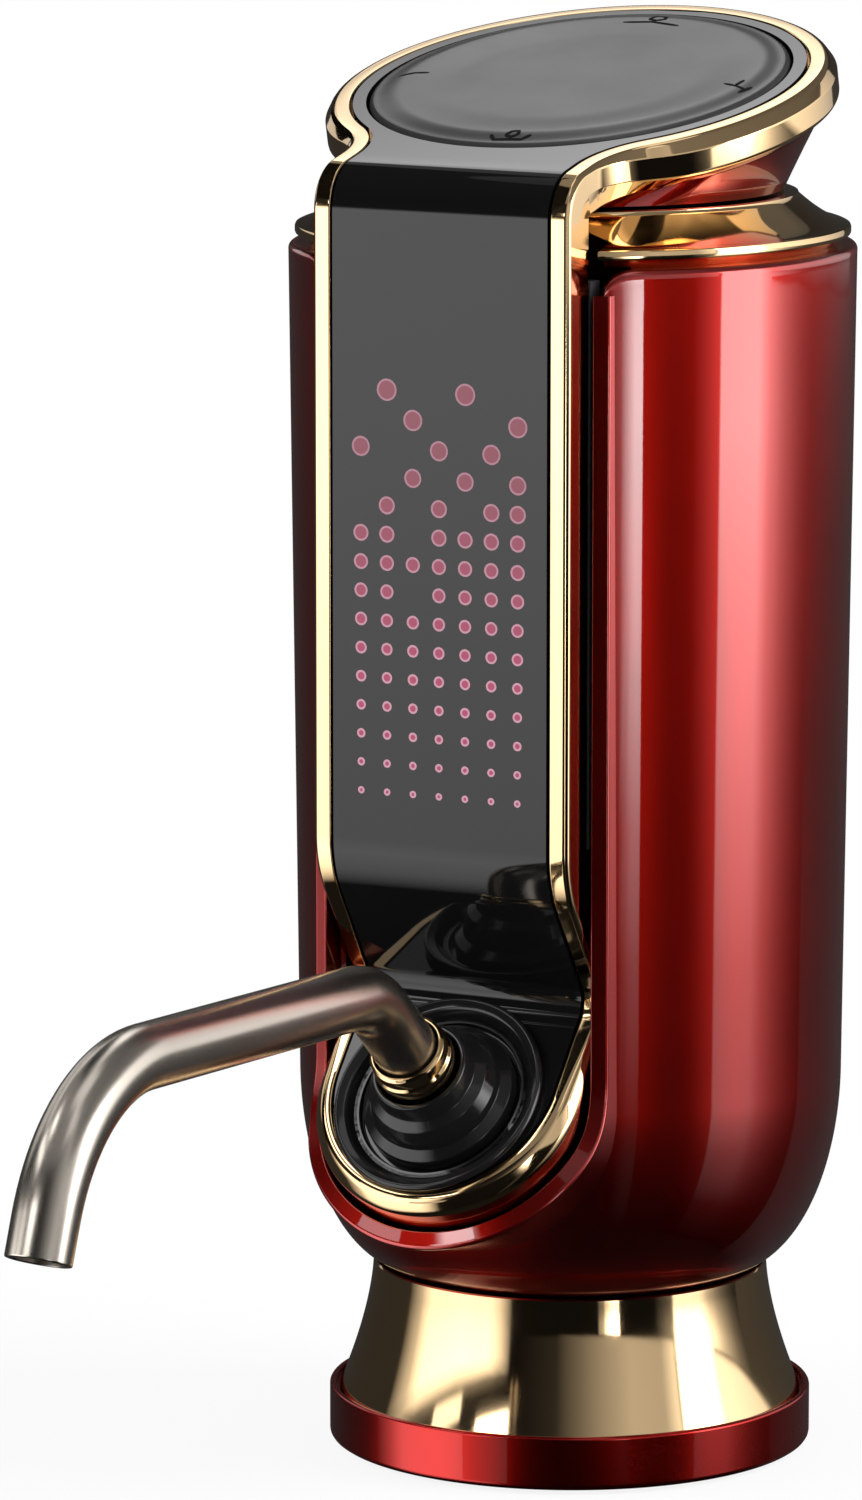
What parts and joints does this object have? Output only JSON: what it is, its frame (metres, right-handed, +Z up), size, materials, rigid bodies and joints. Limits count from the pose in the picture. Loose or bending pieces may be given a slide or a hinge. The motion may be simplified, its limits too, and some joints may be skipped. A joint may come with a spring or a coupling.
{
  "type": "electric wine aerator",
  "caption": "Bottle-top electric wine aerator: red cylinder, tilted control pad, dotted front strip, swivelling curved spout and gold foot.",
  "frame": {"origin": "centre of the round base, on the surface that the aerator stands on", "axes": "+Z up along the body's axis, -Y to the front where the spout points, +X to the right as seen from the front"},
  "size_m": [0.062, 0.1499, 0.1581],
  "materials": {
    "candy_red": "candy lacquer over moulded ABS, high gloss",
    "champagne_gold": "polished champagne gold anodising",
    "gloss_black": "gloss black lens with a rose dot display behind it",
    "satin_black": "satin grey-black moulding",
    "moulded_dark": "plain moulded plastic",
    "stainless": "bright stainless steel",
    "zinc_plate": "zinc plated steel",
    "brass": "cut brass",
    "silicone_rubber": "black silicone",
    "clear_silicone": "clear silicone hose",
    "circuit_board": "green solder mask",
    "diffuser_white": "white diffuser",
    "cell_wrap": "shrink-wrapped cell"
  },
  "bodies": {
    "casing": {"body_shell": "candy_red", "neck_collar": "champagne_gold", "neck_cone": "candy_red", "neck_screw_1": "stainless", "neck_screw_2": "stainless", "trim_frame": "champagne_gold", "front_panel": "gloss_black", "base_ring": "candy_red", "foot_pad": "silicone_rubber", "foot_skirt": "champagne_gold", "foot_core": "moulded_dark", "foot_screw_1": "stainless", "foot_screw_2": "stainless", "foot_screw_3": "stainless", "base_screw_1": "stainless", "base_screw_2": "stainless", "base_screw_3": "stainless", "bottle_stopper": "silicone_rubber", "bottle_gasket": "silicone_rubber", "inlet_nipple": "stainless", "vent_tube": "stainless", "chassis": "moulded_dark", "main_board": "circuit_board", "battery_cell": "cell_wrap", "charge_board": "circuit_board", "charge_socket": "stainless", "charge_bezel": "gloss_black", "pump_housing": "moulded_dark", "pump_cover": "zinc_plate", "pump_screw_1": "stainless", "pump_screw_2": "stainless", "gear_pin": "stainless", "pump_motor": "zinc_plate", "hub_dish": "satin_black", "hub_cone": "satin_black", "hub_socket": "moulded_dark", "hub_screw_1": "stainless", "hub_screw_2": "stainless", "hub_screw_3": "stainless", "aeration_chamber": "stainless", "spout_seal": "silicone_rubber", "pivot_post": "stainless", "head_carrier": "moulded_dark", "control_board": "circuit_board", "display_diffuser": "diffuser_white", "display_board": "circuit_board", "panel_carrier": "moulded_dark", "suction_hose": "clear_silicone", "outlet_hose": "clear_silicone"},
    "spout": {"spout_tube": "stainless", "spout_ferrule": "champagne_gold", "spout_sleeve": "stainless", "spout_clip": "stainless"},
    "pump_rotor": {"motor_shaft": "stainless", "drive_gear": "brass"},
    "driven_rotor": {"driven_gear": "brass"},
    "pad_gimbal": {"pad_cross": "stainless"},
    "pad": {"control_pad": "satin_black"}
  },
  "joints": [
    {"name": "spout_swivel", "type": "hinge", "parent": "casing", "child": "spout", "pos_m": [0, -0.03095, 0.04437], "axis": [0, -0.7547, 0.6561], "range_deg": [-75, 75]},
    {"name": "pad_rock", "type": "hinge", "parent": "casing", "child": "pad_gimbal", "pos_m": [0, 0.00225, 0.14859], "axis": [1, 0, 0], "range_deg": [-2, 2], "stiffness_Nm_per_rad": 0.6},
    {"name": "pad_roll", "type": "hinge", "parent": "pad_gimbal", "child": "pad", "pos_m": [0, 0.00225, 0.14859], "axis": [0, 0.972, 0.2351], "range_deg": [-2, 2], "stiffness_Nm_per_rad": 0.6},
    {"name": "pump_spin", "type": "hinge", "parent": "casing", "child": "pump_rotor", "pos_m": [-0.004, 0.009, 0.0366], "axis": [0, 0, 1], "continuous": true},
    {"name": "driven_spin", "type": "hinge", "parent": "casing", "child": "driven_rotor", "pos_m": [0.004, 0.009, 0.0366], "axis": [0, 0, 1], "continuous": true}
  ],
  "couplings": [
    {"joint": "driven_spin", "follows": "pump_spin", "ratio": -1}
  ]
}
